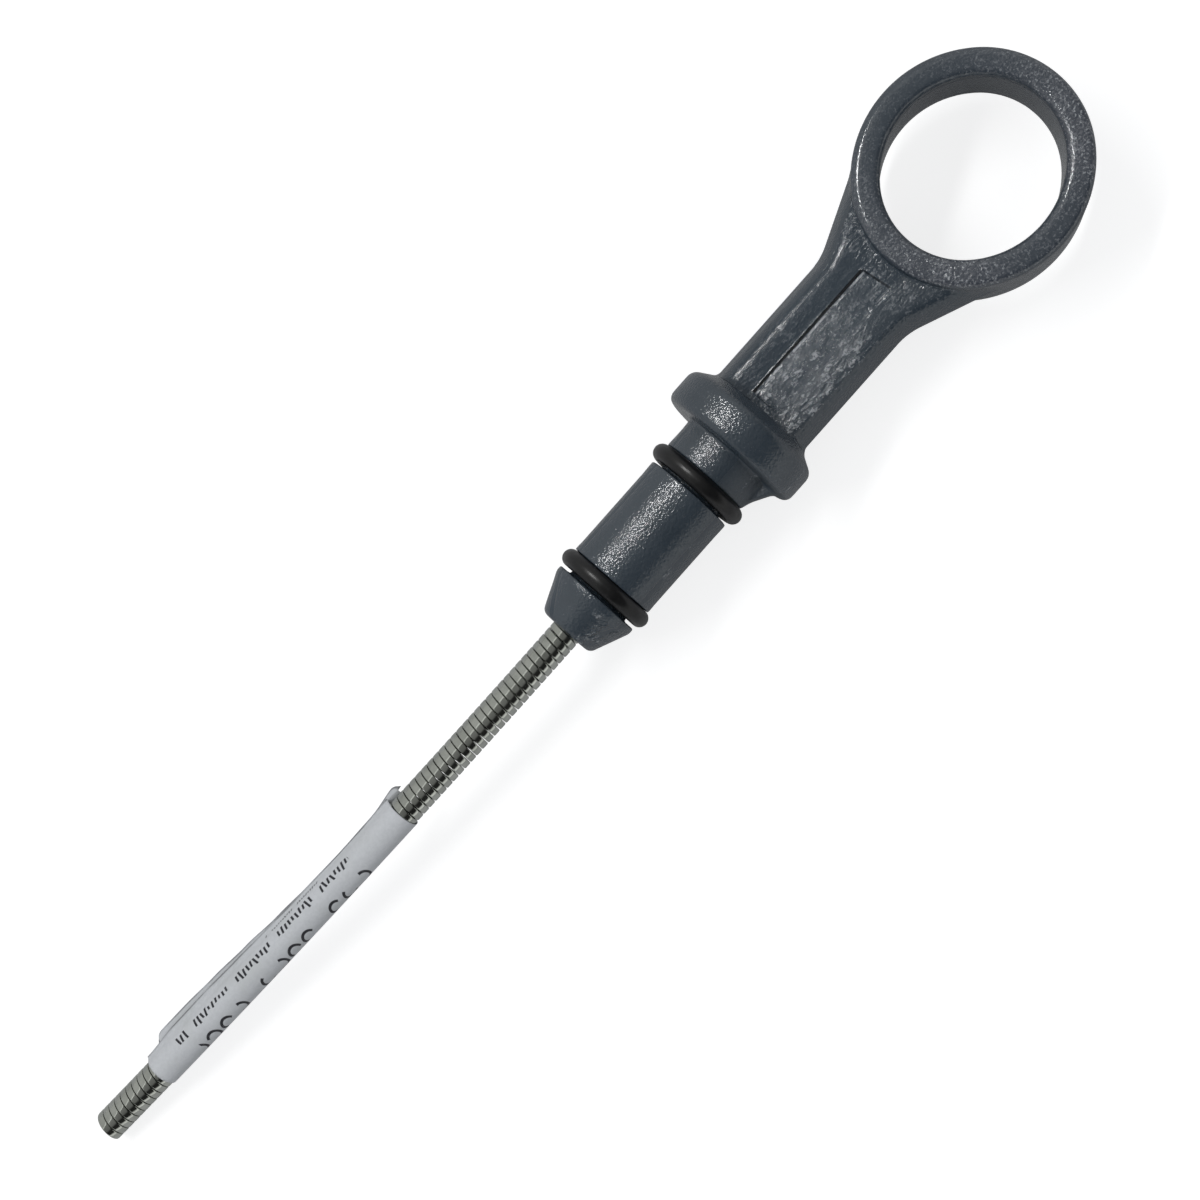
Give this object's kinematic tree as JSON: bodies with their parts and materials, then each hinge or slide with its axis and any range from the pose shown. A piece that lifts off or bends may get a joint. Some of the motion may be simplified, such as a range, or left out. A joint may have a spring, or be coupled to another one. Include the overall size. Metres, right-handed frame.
{
  "type": "engine oil dipstick",
  "caption": "Engine oil dipstick: a moulded finger-ring handle with a collar and a sealing plug that carries rubber rings, and a sprung rod of close-wound flat wire with a paper label.",
  "frame": {"origin": "on the plug's axis, in the plane of the collar's seat face, where the dipstick stops against its tube", "axes": "+X along the plug's axis from the finger ring towards the rod, +Z square to the finger ring's face and up as the dipstick lies on a surface, +Y towards the rib under the collar"},
  "size_m": [0.203, 0.0332, 0.0225],
  "materials": {
    "handle_plastic": "matt, finely grained, slate grey",
    "ring_rubber": "black, satin",
    "rod_steel": "bright flat spring wire",
    "label_paper": null
  },
  "bodies": {
    "root": {"handle": "handle_plastic", "upper_rubber_ring": "ring_rubber", "lower_rubber_ring": "ring_rubber", "sprung_rod": "rod_steel", "paper_label": "label_paper"}
  },
  "joints": []
}
